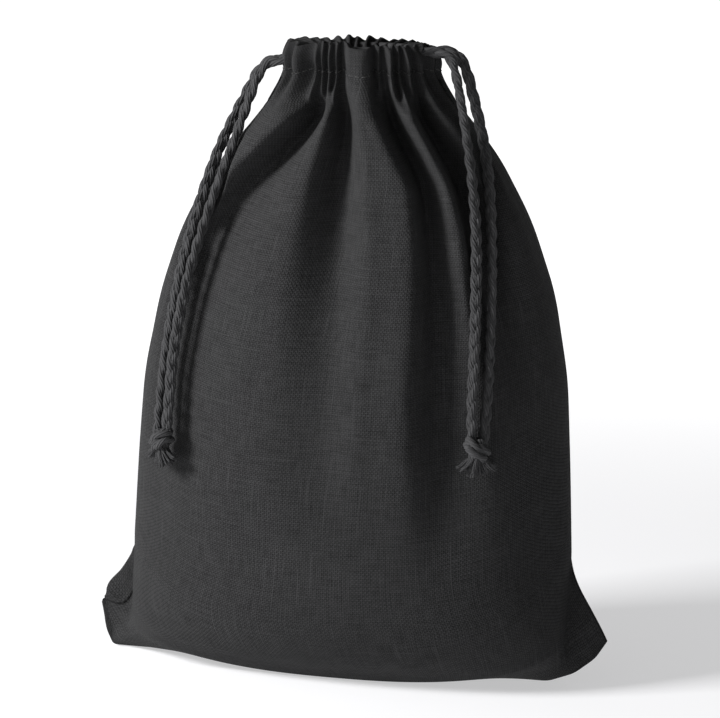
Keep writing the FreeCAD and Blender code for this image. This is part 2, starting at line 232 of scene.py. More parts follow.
class CordSizes(bpy.types.PropertyGroup):
    diameter: FloatProperty(
        name="Cord diameter", description="Width of the plaited drawcord",
        default=0.0038, unit="LENGTH")
    plait_length: FloatProperty(
        name="Plait length", description="Length in which each strand of the plait comes round",
        default=0.021, unit="LENGTH")
    tassel_yarns: IntProperty(
        name="Tassel yarns", description="Loose yarns below each knot", default=64)
    tassel_length: FloatProperty(
        name="Tassel length", description="Length of the loose yarns",
        default=0.0086, unit="LENGTH")


class SackColours(bpy.types.PropertyGroup):
    cloth: FloatVectorProperty(
        name="Cloth", description="Charcoal black of the woven cloth",
        default=(0.021, 0.021, 0.0215), subtype="COLOR")
    cord: FloatVectorProperty(
        name="Cord", description="Slightly greyer black of the cord",
        default=(0.042, 0.042, 0.0435), subtype="COLOR")
    thread: FloatVectorProperty(
        name="Sewing thread", description="Hem stitching",
        default=(0.04, 0.04, 0.04), subtype="COLOR")
    floor: FloatVectorProperty(
        name="Floor", description="Plain pale floor",
        default=(0.55, 0.55, 0.56), subtype="COLOR")


# ---------------------------------------------------------------- shader maths
class Signal:
    """An output socket of a finish, so that shader maths is written as Python."""

    def __init__(self, finish, socket):
        self.finish = finish
        self.socket = socket

    def maths(self, operation, *values):
        return self.finish.node("ShaderNodeMath", {"operation": operation}, dict(enumerate(values)))

    def __add__(self, other):
        return self.maths("ADD", self, other)

    def __radd__(self, other):
        return self.maths("ADD", other, self)

    def __sub__(self, other):
        return self.maths("SUBTRACT", self, other)

    def __rsub__(self, other):
        return self.maths("SUBTRACT", other, self)

    def __mul__(self, other):
        return self.maths("MULTIPLY", self, other)

    def __rmul__(self, other):
        return self.maths("MULTIPLY", other, self)

    def sine(self):
        return self.maths("SINE", self)

    def size(self):
        return self.maths("ABSOLUTE", self)

    def above(self, low, high):
        """0 below low, 1 over high and a smooth step between them."""
        inputs = {"Value": self, "From Min": low, "From Max": high}
        return self.finish.node("ShaderNodeMapRange", {"interpolation_type": "SMOOTHSTEP"}, inputs)


class Finish:
    """A material or a world under construction."""

    def __init__(self, owner):
        self.owner = owner
        self.owner.use_nodes = True
        self.tree = self.owner.node_tree
        self.tree.nodes.clear()

    def node(self, kind, settings, inputs, output=0):
        """Adds a node. Its settings come first, then the values or links of its sockets."""
        node = self.tree.nodes.new(kind)
        for key, value in settings.items():
            setattr(node, key, value)
        for key, value in inputs.items():
            if isinstance(value, Signal):
                self.tree.links.new(value.socket, node.inputs[key])
            else:
                node.inputs[key].default_value = value
        return Signal(self, node.outputs[output]) if node.outputs else None

    def place(self, name):
        """The three numbers of a stored attribute."""
        vector = self.node("ShaderNodeAttribute", {"attribute_name": name}, {}, "Vector")
        return [self.node("ShaderNodeSeparateXYZ", {}, {0: vector}, part) for part in range(3)]

    def point(self, x, y, z):
        return self.node("ShaderNodeCombineXYZ", {}, {0: x, 1: y, 2: z})

    def noise(self, vector, detail, scale=1.0):
        return self.node("ShaderNodeTexNoise", {}, {"Vector": vector, "Scale": scale, "Detail": detail})

    def mix(self, share, first, second):
        """Between two colours."""
        inputs = {0: share, 6: first, 7: second}
        return self.node("ShaderNodeMix", {"data_type": "RGBA"}, inputs, 2)

    def shades(self, share, colour, dark, pale):
        """Between a darker and a paler shade of one colour."""
        return self.mix(share, grey(colour, dark), grey(colour, pale))

    def bump(self, strength, distance, height):
        """The surface's direction where it stands up by a height."""
        inputs = {"Strength": strength, "Distance": distance, "Height": height}
        return self.node("ShaderNodeBump", {}, inputs)

    def surface(self, **sockets):
        """The finished surface, with what is constant set on its own sockets."""
        inputs = {key.replace("_", " "): value for key, value in sockets.items()}
        shader = self.node("ShaderNodeBsdfPrincipled", {}, inputs)
        self.node("ShaderNodeOutputMaterial", {}, {"Surface": shader})
        return self.owner


def material_finish(name):
    return Finish(bpy.data.materials.new(name))


def grey(colour, factor):
    """A colour made lighter or darker, with its alpha."""
    return (colour[0] * factor, colour[1] * factor, colour[2] * factor, 1.0)


# Half the width of the painted shade along a side seam, and how softly it ends, in metres.
SEAM_SHADE = 0.0009
SEAM_SHADE_FADE = 0.0008


def woven_cloth(sizes, colours):
    """Plain weave with uneven threads and slubs, laid out in the flat cloth's own width and height."""
    finish = material_finish("black_plain_weave")
    across, up, _ = finish.place("cloth_place")
    threads = 1.0 / sizes.thread_pitch

    def unevenness(features_across, features_up, layer, detail):
        """Noise with that many features in a metre each way. Each layer is a noise of its own."""
        return finish.noise(finish.point(across * features_across, up * features_up, layer), detail)

    drift_beside, drift_along, drift_reach = 700.0, 60.0, 2.6
    warp_drift = unevenness(drift_beside, drift_along, 0.0, 1.0)
    weft_drift = unevenness(drift_along, drift_beside, 7.0, 1.0)
    warp = (across * (math.pi * threads) + warp_drift * drift_reach).sine()
    weft = (up * (math.pi * threads) + weft_drift * drift_reach).sine()
    crossings = warp * weft
    gaps = (1.0 - warp.size()) * (1.0 - weft.size())
    yarn_beside, yarn_along = threads * 0.9, 130.0
    warp_yarns = unevenness(yarn_beside, yarn_along, 3.0, 2.0)
    weft_yarns = unevenness(yarn_along, yarn_beside, 5.0, 2.0)
    slub_beside = 1100.0
    warp_slubs = unevenness(slub_beside, 34.0, 11.0, 0.0).above(0.7, 0.8)
    weft_slubs = unevenness(30.0, slub_beside, 13.0, 0.0).above(0.72, 0.82)
    slubs = warp_slubs + weft_slubs
    mottle_size = 38.0
    mottle = unevenness(mottle_size, mottle_size, 17.0, 3.0)
    # Painted shade: a dark line along each side seam, where shade falls in the seam's crease.
    seam_shade = (SEAM_SHADE - (sizes.cloth_width / 2 - across.size())).above(0.0, SEAM_SHADE_FADE)
    tone = (warp_yarns + weft_yarns) * 0.85 + crossings * 0.2 - gaps * 1.5 + mottle * 0.3 - 0.22
    light = (tone + slubs * 0.35) * (1.0 - seam_shade * 0.8)
    colour = finish.shades(light, colours.cloth, 0.4, 1.7)
    relief = crossings * 0.6 - gaps * 1.2 + (warp_yarns + weft_yarns) * 0.6 + slubs * 0.4
    bump = finish.bump(0.8, 0.00016, relief)
    return finish.surface(Base_Color=colour, Normal=bump, Roughness=0.9, Specular_IOR_Level=0.1,
                          Sheen_Weight=0.02, Sheen_Roughness=0.4)


# Fine yarns in each strand of a cord, and how far they wind round it, in radians for each metre.
YARNS = 7
YARN_TURN = 330.0
# How deep the yarns' ridges are, as a share of the strand's radius, and their mean height.
RIDGE_DEPTH = 0.24
RIDGE_MEAN = 0.64
THREAD_TWIST = 9000.0


def cotton_yarn(colours):
    """Strand of many fine yarns that wind slowly round it."""
    finish = material_finish("black_cotton_cord")
    around, along, tone = finish.place("yarn_place")
    lines = (around * YARNS + along * (YARNS * YARN_TURN)).sine()
    fuzz = finish.noise(finish.point(around * 3.5, along * 420.0, tone * 9.0), 3.0)
    # The yarn lines also go into the colour: painted highlight on each yarn's ridge and painted shade
    # between the yarns, beside their bump.
    light = lines * 0.2 + fuzz * 0.9 + tone * 0.35 - 0.13
    colour = finish.shades(light, colours.cord, 0.5, 1.6)
    bump = finish.bump(0.7, 0.00022, lines * 0.5 + fuzz * 0.9)
    return finish.surface(Base_Color=colour, Normal=bump, Roughness=0.86, Specular_IOR_Level=0.12,
                          Sheen_Weight=0.03, Sheen_Roughness=0.5)


def sewing_thread(colours):
    """Tightly twisted thread, a little shinier than the cloth."""
    finish = material_finish("black_sewing_thread")
    around, along, tone = finish.place("yarn_place")
    twist = (around + along * THREAD_TWIST).sine()
    colour = finish.shades(twist * 0.3 + tone * 0.4 + 0.3, colours.thread, 0.6, 1.3)
    bump = finish.bump(0.5, 0.0001, twist)
    return finish.surface(Base_Color=colour, Normal=bump, Roughness=0.6)


def hidden_cord(colours):
    """The same cord inside the channel, laid out in space because its solid has no yarn places."""
    finish = material_finish("black_cord_in_the_channel")
    place = finish.node("ShaderNodeNewGeometry", {}, {}, "Position")
    strands = finish.noise(place, 2.0, scale=900.0)
    fuzz = finish.noise(place, 3.0, scale=2600.0)
    colour = finish.shades(strands * 0.7 + fuzz * 0.5 - 0.1, colours.cord, 0.45, 1.4)
    bump = finish.bump(0.8, 0.0004, strands + fuzz * 0.4)
    return finish.surface(Base_Color=colour, Normal=bump, Roughness=0.88, Specular_IOR_Level=0.25)


def finish_named(name, maker, *arguments):
    """The material of that name, made the first time that it is asked for."""
    return bpy.data.materials.get(name) or maker(*arguments)


# ---------------------------------------------------------------- meshes
def mesh_piece(name, points, faces, material, attribute=None, values=None):
    """A smooth mesh object, with a value stored at every point for its finish."""
    mesh = bpy.data.meshes.new(name)
    mesh.from_pydata(np.asarray(points).tolist(), [], faces)
    mesh.polygons.foreach_set("use_smooth", [True] * len(mesh.polygons))
    if attribute:
        store = mesh.attributes.new(attribute, "FLOAT_VECTOR", "POINT")
        store.data.foreach_set("vector", np.asarray(values, dtype=np.float32).ravel())
    mesh.materials.append(material)
    mesh.update()
    piece = bpy.data.objects.new(name, mesh)
    bpy.context.collection.objects.link(piece)
    return piece


def grid_faces(numbers, flip=False):
    """Quads between the points of a grid of point numbers."""
    corners = np.stack([numbers[:-1, :-1], numbers[:-1, 1:], numbers[1:, 1:], numbers[1:, :-1]], axis=-1)
    faces = corners.reshape(-1, 4).tolist()
    return [face[::-1] for face in faces] if flip else faces


def thicken(piece, sizes, offset):
    """Gives a sheet its cloth's thickness: inward at -1, and to both sides at 0."""
    thickness = piece.modifiers.new("thickness", "SOLIDIFY")
    thickness.thickness = sizes.cloth_thickness
    thickness.offset = offset


def travel_along(line):
    """How far along a line each of its points lies."""
    return np.concatenate([[0.0], np.cumsum(np.linalg.norm(np.diff(line, axis=0), axis=1))])


def read_along(wanted, travel, line):
    """Points of a line at the wanted lengths along it."""
    return np.stack([np.interp(wanted, travel, line[:, axis]) for axis in range(3)], axis=1)


def resampled(line, count):
    """The same line with that many points, evenly spaced."""
    travel = travel_along(line)
    return read_along(np.linspace(0.0, travel[-1], count), travel, line)


def frames_along(line):
    """Heading and two directions across a line at each of its points, turning as little as they can."""
    heading = np.gradient(line, axis=0)
    heading /= np.linalg.norm(heading, axis=1)[:, None]
    first = np.cross(heading[0], (0.0, 0.0, 1.0))
    if np.linalg.norm(first) < 0.1:
        first = np.cross(heading[0], (0.0, 1.0, 0.0))
    side = np.empty_like(line)
    for index, ahead in enumerate(heading):
        first = first - ahead * first.dot(ahead)
        first /= np.linalg.norm(first)
        side[index] = first
    return heading, side, np.cross(heading, side)


def tubes(lines, radii, sides, tones=None, yarns=0):
    """Round tubes along several lines, as points, faces and yarn places. With yarns, each tube is
    ridged by that many yarns winding round it."""
    points, faces, places = [], [], []
    angles = np.linspace(0, 2 * math.pi, sides, endpoint=False)
    for index, (line, radius) in enumerate(zip(lines, radii)):
        _, side, up = frames_along(line)
        radius = np.broadcast_to(radius, len(line))
        ring = side[:, None] * np.cos(angles)[:, None] + up[:, None] * np.sin(angles)[:, None]
        start = sum(len(block) for block in points)
        travel = travel_along(line)
        ridged = radius[:, None]
        if yarns:
            ridge = np.abs(np.cos(yarns / 2 * (angles[None] + YARN_TURN * travel[:, None])))
            ridged = ridged * (1 + RIDGE_DEPTH * (ridge - RIDGE_MEAN))
        block = line[:, None] + ring * ridged[..., None]
        tone = 0.5 if tones is None else tones[index]
        place = np.stack(np.broadcast_arrays(angles[None], travel[:, None], tone), axis=-1)
        points.append(block.reshape(-1, 3))
        places.append(place.reshape(-1, 3))
        numbers = start + np.arange(len(line) * sides).reshape(len(line), sides)
        faces += grid_faces(np.hstack([numbers, numbers[:, :1]]), flip=True)
        faces.append(numbers[0].tolist())
        faces.append(numbers[-1][::-1].tolist())
    return np.concatenate(points), faces, np.concatenate(places)


def spline_line(points, step):
    """Points along a NURBS spline that has the given control points, evenly spaced."""
    curve = bpy.data.curves.new("route", "CURVE")
    curve.dimensions = "3D"
    curve.resolution_u = 24
    spline = curve.splines.new("NURBS")
    spline.points.add(len(points) - 1)
    for slot, point in zip(spline.points, points):
        slot.co = (*point, 1.0)
    spline.order_u = 3
    spline.use_endpoint_u = True
    holder = bpy.data.objects.new("route", curve)
    mesh = bpy.data.meshes.new_from_object(holder)
    line = np.array([vertex.co[:] for vertex in mesh.vertices])
    bpy.data.objects.remove(holder)
    bpy.data.curves.remove(curve)
    bpy.data.meshes.remove(mesh)
    length = travel_along(line)[-1]
    return resampled(line, max(8, int(length / step))), length


# A plait's strands swing across it and dip under each other, as shares of its diameter, and the
# whole plait turns over slowly: by a radian in this length.
PLAIT_SWING = 0.25
PLAIT_DIP = 0.13
STRAND_RADIUS = 0.305
PLAIT_ROLL = 0.045
STRANDS = 3
STRAND_TONES = (0.35, 0.5, 0.65)
STRAND_SIDES = 28


def plait(line, diameter, plait_length, start_turn):
    """Three strands plaited along a line: their lines and their radius."""
    _, side, up = frames_along(line)
    travel = travel_along(line)
    swing = PLAIT_SWING * diameter
    dip = PLAIT_DIP * diameter
    strands = []
    for strand in range(STRANDS):
        phase = 2 * math.pi * (travel / plait_length + strand / STRANDS) + start_turn
        roll = travel / PLAIT_ROLL + start_turn
        sway, weave = swing * np.sin(phase), dip * np.sin(2 * phase)
        x = sway * np.cos(roll) - weave * np.sin(roll)
        y = sway * np.sin(roll) + weave * np.cos(roll)
        strands.append(line + side * x[:, None] + up * y[:, None])
    return strands, STRAND_RADIUS * diameter


# ---------------------------------------------------------------- the cloth before it settles
FINE_HEIGHTS = 461
LEVEL_ROUNDING = 15
SECTION_HEIGHTS = 116


def level_at(height):
    """Half width, half depth, edge and lean of the outline at a height, with the levels rounded off."""
    fine = np.linspace(0.0, SEAM_HEIGHT, FINE_HEIGHTS)
    reach = LEVEL_ROUNDING
    values = []
    for column in range(1, LEVELS.shape[1]):
        line = np.interp(fine, LEVELS[:, 0], LEVELS[:, column])
        padded = np.concatenate([np.full(reach, line[0]), line, np.full(reach, line[-1])])
        rounded = np.convolve(padded, np.ones(2 * reach + 1) / (2 * reach + 1), "valid")
        values.append(np.interp(height, fine, rounded))
    return values


def smooth(value, low, high):
    """0 below low, 1 over high and a smooth step between them."""
    share = np.clip((value - low) / (high - low), 0.0, 1.0)
    return share * share * (3 - 2 * share)


def between(shares, extremes):
    """A wave that goes smoothly from each extreme to the next."""
    index = np.clip(np.searchsorted(extremes[:, 0], shares, "right") - 1, 0, len(extremes) - 2)
    start, end = extremes[index], extremes[index + 1]
    part = (shares - start[:, 0]) / (end[:, 0] - start[:, 0])
    return start[:, 1] + (end[:, 1] - start[:, 1]) * (1 - np.cos(math.pi * part)) / 2


def folds_at(height, levels):
    """The folds at a height, between the two nearest heights that they are given for."""
    heights = [level[0] for level in levels]
    upper = int(np.clip(np.searchsorted(heights, height), 1, len(levels) - 1))
    (low, below), (high, above) = levels[upper - 1], levels[upper]
    share = np.clip((height - low) / (high - low), 0.0, 1.0)
    return np.array(below) * (1 - share) + np.array(above) * share


def pleat_extremes(pleats, seed):
    """Uneven narrow pleats across a panel, in the same form as the folds."""
    random = np.random.default_rng(seed)
    widths = random.uniform(0.55, 1.45, 2 * pleats)
    edges = np.concatenate([[0.0], np.cumsum(widths)]) / widths.sum()
    stands = np.where(np.arange(len(edges)) % 2, 1.0, -1.0) * random.uniform(0.65, 1.2, len(edges))
    stands[0] = stands[-1] = 0.0
    return np.stack([edges, stands], axis=1)


def travel_across(x, y):
    """How far along a level line each of its points lies."""
    return np.concatenate([[0.0], np.cumsum(np.hypot(np.diff(x), np.diff(y)))])


def section(height, folds, pleats, cloth_width, columns):
    """The panel's line at one height, folded until it is as long as the cloth is wide."""
    half_width, half_depth, edge, lean = level_at(height)
    angle = np.linspace(0.0, math.pi, OUTLINE_POINTS)
    x = -half_width * np.cos(angle)
    belly = min(half_width, BELLY_HALF_WIDTH)
    y = -half_depth * np.maximum(1 - (x / belly) ** 2, 0.0) ** (edge / 2)
    y -= EAR_THICKNESS / 2 * np.sin(angle) * (1 - smooth(height, *EAR_FADE_HEIGHTS))
    share = travel_across(x, y)
    share /= share[-1]
    out_x, out_y = np.gradient(y), -np.gradient(x)
    size = np.hypot(out_x, out_y) + 1e-12
    out_x, out_y = out_x / size, out_y / size
    gathered = smooth(height, *GATHERING_HEIGHTS)
    wave = between(share, folds_at(height, folds)) * (1 - gathered) + between(share, pleats) * gathered
    wave = np.where(wave < 0, wave * (1 - SOFTER_VALLEYS * gathered), wave)
    wave = wave * smooth(np.minimum(share, 1 - share), 0.0, FLAT_BESIDE_SEAM)
    low, high = 0.0, DEEPEST_FOLD - SHALLOWER_PLEATS * gathered
    for _ in range(DEPTH_HALVINGS):
        depth = (low + high) / 2
        length = np.hypot(np.diff(x + out_x * wave * depth), np.diff(y + out_y * wave * depth)).sum()
        low, high = (low, depth) if length > cloth_width else (depth, high)
    depth = max(low, LOW_FOLD_DEPTH * smooth(height, *LOW_FOLD_HEIGHTS))
    fall = -FOLD_HANG * wave * depth * smooth(height, *FOLD_HANG_HEIGHTS)
    x, y = x + out_x * wave * depth + lean * NECK_LEAN, y + out_y * wave * depth
    travel = travel_across(x, y)
    even = np.linspace(0.0, travel[-1], columns + 1)
    return [np.interp(even, travel, values) for values in (x, y, fall)]


def start_panel(folds, pleats, cloth_width, columns, rows):
    """Points of a panel, in millimetres, row by row from the bottom seam to the hem's stitching."""
    share = np.linspace(0.0, 1.0, columns + 1)
    heights = np.linspace(0.0, SEAM_HEIGHT, SECTION_HEIGHTS)
    lines = [section(height, folds, pleats, cloth_width, columns) for height in heights]
    xs, ys, falls = (np.array([line[part] for line in lines]) for part in range(3))
    seam_x = np.interp(share, BOTTOM_SEAM_SHARES, BOTTOM_SEAM[:, 0])
    seam_z = np.interp(share, BOTTOM_SEAM_SHARES, BOTTOM_SEAM[:, 1])
    at_side = np.abs(2 * share - 1) ** 3
    grid = np.empty((rows + 1, columns + 1, 3))
    for row in range(rows + 1):
        climbed = row / rows
        middle = np.interp(climbed * MIDDLE_CLIMB[-1, 0], MIDDLE_CLIMB[:, 0], MIDDLE_CLIMB[:, 1])
        side = CORNER_HEIGHT + (SEAM_HEIGHT - CORNER_HEIGHT) * climbed
        z = middle * (1 - at_side) + side * at_side
        under = smooth(climbed * MIDDLE_CLIMB[-1, 0], 0.0, UNDERSIDE_LENGTH)
        for column in range(columns + 1):
            x = np.interp(z[column], heights, xs[:, column])
            y = np.interp(z[column], heights, ys[:, column])
            fall = np.interp(z[column], heights, falls[:, column])
            grid[row, column] = (x * under + seam_x[column] * (1 - under), y * under,
                                 z[column] * under + seam_z[column] * (1 - under) + fall)
    return grid


def slide_side_seam(front, back):
    """Turns the sack a little above its left ear, so that its side seam comes round to the front."""
    for row in range(1, len(front)):
        height = front[row, 0, 2]
        slide = SEAM_SLIDE * smooth(height, *SLIDE_START_HEIGHTS) * (1 - smooth(height, *SLIDE_END_HEIGHTS))
        if slide < LEAST_SLIDE:
            continue
        travel = travel_along(front[row])
        seam = read_along([slide], travel, front[row])
        kept = travel > slide
        turned = front[row][~kept][::-1]
        tip_reach = EAR_TIP_REACH * min(1.0, slide / EAR_TIP_FULL_SLIDE)
        tip_reach *= 1 - smooth(height, *EAR_TIP_HEIGHTS)
        turned[:, 0] -= tip_reach * np.linspace(0.0, 1.0, len(turned))
        count = front.shape[1]
        back[row] = resampled(np.concatenate([seam, turned, back[row, 1:]]), count)
        front[row] = resampled(np.concatenate([seam, front[row][kept]]), count)


def press_under_cords(front):
    """Presses the cloth in where a hanging cord lies on it, in a shallow groove."""
    for route in LEG_ROUTES.values():
        line, _ = spline_line([Vector(point) for point in route], GROOVE_STEP)
        for place in line[line[:, 2] < FREE_CORD_TOP]:
            outward = np.array([place[0] - NECK_LEAN, place[1], 0.0]) * GROOVE_FACING
            outward /= np.linalg.norm(outward)
            apart = front - place
            out = apart @ outward
            beside = np.linalg.norm(apart - out[..., None] * outward, axis=-1)
            most = GROOVE_STEEPNESS * beside ** 2 - GROOVE_CLEARANCE
            inward = np.where(beside < GROOVE_REACH, np.maximum(out - most, 0.0), 0.0)
            front -= inward[..., None] * outward


# ---------------------------------------------------------------- settling
def settle(front, back, sizes):
    """Lets both panels, sewn together at sides and bottom, settle as cloth over their filling."""
    scale = SETTLING_SCALE
    rows, columns = front.shape[0] - 1, front.shape[1] - 1
    numbers = np.arange(front[..., 0].size).reshape(front.shape[:2])
    back_numbers = numbers.copy()
    back_numbers[1:, 1:-1] = numbers.size + np.arange(rows * (columns - 1)).reshape(rows, -1)
    points = np.concatenate([front.reshape(-1, 3), back[1:, 1:-1].reshape(-1, 3)]) * scale
    across, up = np.meshgrid(np.linspace(-0.5, 0.5, columns + 1) * sizes.cloth_width / MM,
                             np.linspace(0.0, 1.0, rows + 1) * PANEL_RISE)
    flat = np.stack([across, np.zeros_like(across), up], axis=-1)
    flat = np.concatenate([flat.reshape(-1, 3), flat[1:, 1:-1].reshape(-1, 3)]) * scale
    mesh = bpy.data.meshes.new("settling")
    mesh.from_pydata(points.tolist(), [], grid_faces(numbers) + grid_faces(back_numbers, flip=True))
    cloth = bpy.data.objects.new("settling", mesh)
    bpy.context.collection.objects.link(cloth)
    cloth.shape_key_add(name="filled")
    rest = cloth.shape_key_add(name="flat")
    rest.value = 0.0
    rest.data.foreach_set("co", flat.astype(np.float32).ravel())
    held = cloth.vertex_groups.new(name="held")
    held.add(list(range(len(points))), HELD_BY_THE_FILLING, "REPLACE")
    top = [rows_of[-ROWS_HELD_ON_THE_CORD:].ravel() for rows_of in (numbers, back_numbers)]
    held.add(np.unique(np.concatenate(top)).tolist(), 1.0, "REPLACE")
    ground_mesh = bpy.data.meshes.new("settling_ground")
    ground_mesh.from_pydata([(-3, -3, 0), (3, -3, 0), (3, 3, 0), (-3, 3, 0)], [], [(0, 1, 2, 3)])
    ground = bpy.data.objects.new("settling_ground", ground_mesh)
    bpy.context.collection.objects.link(ground)
    ground.modifiers.new("ground", "COLLISION")
    ground.collision.thickness_outer = 0.002
    ground.collision.cloth_friction = 20.0

    modifier = cloth.modifiers.new("cloth", "CLOTH")
    settings = modifier.settings
    settings.quality = 6
    settings.mass = 0.3
    settings.air_damping = 3.0
    settings.tension_stiffness = settings.compression_stiffness = 22.0
    settings.shear_stiffness = 6.0
    settings.bending_stiffness = 0.6
    settings.tension_damping = settings.compression_damping = settings.shear_damping = 5.0
    settings.vertex_group_mass = held.name
    settings.rest_shape_key = rest
    settings.use_pressure = True
    settings.uniform_pressure_force = 1.0
    settings.effector_weights.gravity = 0.3
    modifier.collision_settings.distance_min = 0.004
    modifier.collision_settings.use_self_collision = False
    modifier.point_cache.frame_start = 1
    modifier.point_cache.frame_end = sizes.settle_steps
    scene = bpy.context.scene
    for step in range(1, sizes.settle_steps + 1):
        scene.frame_set(step)
    settled = cloth.evaluated_get(bpy.context.evaluated_depsgraph_get()).data
    found = np.empty(len(points) * 3, np.float32)
    settled.vertices.foreach_get("co", found)
    found = found.reshape(-1, 3).astype(float) / scale
    for holder in (cloth, ground):
        data = holder.data
        bpy.data.objects.remove(holder)
        bpy.data.meshes.remove(data)
    scene.frame_set(1)
    return found[numbers], found[back_numbers]


# ---------------------------------------------------------------- the hem, turned over the cords
def running_mean(values):
    """The same values with the pleats smoothed out of them."""
    reach = HEM_ROUNDING
    return np.convolve(np.pad(values, reach, "edge"), np.ones(2 * reach + 1) / (2 * reach + 1), "valid")


def hem_rows(edge, facing, seed):
    """The outer layer of the channel above its stitching, the fold at the top, and the inner layer."""
    random = np.random.default_rng(seed)
    columns = edge.shape[0]
    away = edge[:, :2] - np.array([NECK_LEAN, 0.0])
    outward = np.stack([away[:, 0] * HEM_FACING, away[:, 1]], axis=1)
    outward /= np.linalg.norm(outward, axis=1)[:, None] + 1e-9
    width = np.linspace(0.0, 1.0, columns)
    wavers = random.uniform(*RIM_WAVER, RIM_WAVERS)
    ragged = np.interp(width, np.linspace(0, 1, RIM_WAVERS), wavers)
    ragged -= RIM_DROP * smooth(edge[:, 0], *RIM_DROP_PLACES)
    ragged = np.maximum(ragged, RIM_LOWEST)
    drawn_in = RIM_DRAWN_IN * smooth(edge[:, 0], *RIM_DRAWN_IN_PLACES)
    mean_x, mean_y = running_mean(edge[:, 0]), running_mean(edge[:, 1])
    inner_x = (mean_x - NECK_LEAN) * INNER_WIDTH_SHARE
    inner_x = np.clip(inner_x, -CHANNEL_HALF_LENGTH, CHANNEL_HALF_LENGTH)
    inner_y = np.sqrt(CHANNEL_BEND ** 2 - inner_x ** 2) - CHANNEL_BEND + CHANNEL_OFFSET - INSIDE_THE_CORDS
    inner_y = np.where(facing == "front", -inner_y, inner_y)
    pleated = edge[:, :2] - np.stack([mean_x, mean_y], axis=1)
    inner = np.stack([inner_x + NECK_LEAN, inner_y], axis=1) + INNER_PLEATS * pleated
    rows = []
    for step in range(1, HEM_STEPS + 1):
        part = step / HEM_STEPS
        row = edge.copy()
        row[:, :2] += outward * (HEM_BULGE * math.sin(math.pi * part) - HEM_DRAWN_BACK * part ** 2)
        row[:, :2] -= HEM_FLATTER_PLEATS * part ** 2 * pleated
        row[:, 0] -= drawn_in * part ** 2
        row[:, 2] += (HEM_RISE + ragged) * part
        rows.append(row)
    for step in range(HEM_STEPS + 1):
        part = 1 - step / HEM_STEPS
        row = edge.copy()
        tucked = smooth(1 - part, *TUCK_START) * (1 - smooth(1 - part, *TUCK_END))
        row[:, 0] -= drawn_in * part ** 2
        row[:, :2] -= HEM_FLATTER_PLEATS * part ** 2 * pleated + HEM_DRAWN_BACK * outward
        row[:, :2] = row[:, :2] * (1 - tucked) + inner * tucked
        row[:, 2] = edge[:, 2] + (HEM_RISE + ragged) * part * INNER_TOP_SHARE
        rows.append(row)
    return rows


def panel_piece(name, grid, hem, sizes, material, flip):
    """One panel with its turned-over hem, and the place of each point on the flat cloth."""
    columns = grid.shape[1] - 1
    rows = np.concatenate([grid, np.array(hem)])
    across = np.linspace(-0.5, 0.5, columns + 1) * sizes.cloth_width
    climbed = np.linspace(0.0, PANEL_RISE, grid.shape[0]) * MM
    spare = (sizes.cloth_height - climbed[-1]) / len(hem)
    climbed = np.concatenate([climbed, climbed[-1] + spare * np.arange(1, len(hem) + 1)])
    places = np.zeros((len(rows), columns + 1, 3))
    places[..., 0] = across
    places[..., 1] = climbed[:, None]
    numbers = np.arange(rows[..., 0].size).reshape(rows.shape[:2])
    piece = mesh_piece(name, rows.reshape(-1, 3) * MM, grid_faces(numbers, flip), material,
                       "cloth_place", places.reshape(-1, 3))
    rounding = piece.modifiers.new("rounding", "SUBSURF")
    rounding.levels = rounding.render_levels = 1
    thicken(piece, sizes, -1.0)
    return piece


def blend_to_rim(piece):
    """Bakes the piece's placement into its points."""
    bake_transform(piece)


# The settled panels, for the pieces that are sewn to them.
SETTLED = {}
HEM_SEEDS = {"front": 5, "back": 6}


class GIFTSACK_OT_cloth(bpy.types.Operator):
    """Gathers, fills and settles the two cloth panels"""
    bl_idname = "giftsack.cloth"
    bl_label = "Cloth panels"

    def execute(self, context):
        sizes, colours = context.scene.sack_sizes, context.scene.sack_colours
        cells = sizes.cloth_width / MM, sizes.columns, sizes.rows
        front = start_panel(FRONT_FOLDS, FRONT_PLEATS, *cells)
        back = start_panel(BACK_FOLDS, pleat_extremes(sizes.pleats, BACK_PLEAT_SEED), *cells)
        back[..., 1] *= -1
        back[:, 0], back[:, -1], back[0] = front[:, 0], front[:, -1], front[0]
        slide_side_seam(front, back)
        for grid in (front, back):
            grid[..., 1] -= FOOT_TURN * grid[..., 0] * (1 - smooth(grid[..., 2], *FOOT_TURN_HEIGHTS))
        front, back = settle(front, back, sizes)
        press_under_cords(front)
        for grid in (front, back):
            grid[..., 2] = np.maximum(grid[..., 2], FLOOR_CLEARANCE)
        SETTLED.update(front=front, back=back)
        material = finish_named("black_plain_weave", woven_cloth, sizes, colours)
        for side, grid in SETTLED.items():
            hem = hem_rows(grid[-1], side, HEM_SEEDS[side])
            piece = panel_piece(side + "_sack_cloth", grid, hem, sizes, material, side == "back")
            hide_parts(side + "_panel", side + "_channel")
            blend_to_rim(piece)
        return {"FINISHED"}


# The sewn edges are strips of the cloth's cells beside a seam. The bottom one ends short of the
# ears and lies a millimetre above the seam, and the side ones start above the ears.
EDGE_CELLS = 5
SIDE_EDGES_START = 0.2
SHORT_OF_THE_EARS = 14
BOTTOM_EDGE_LIFT = 1.0


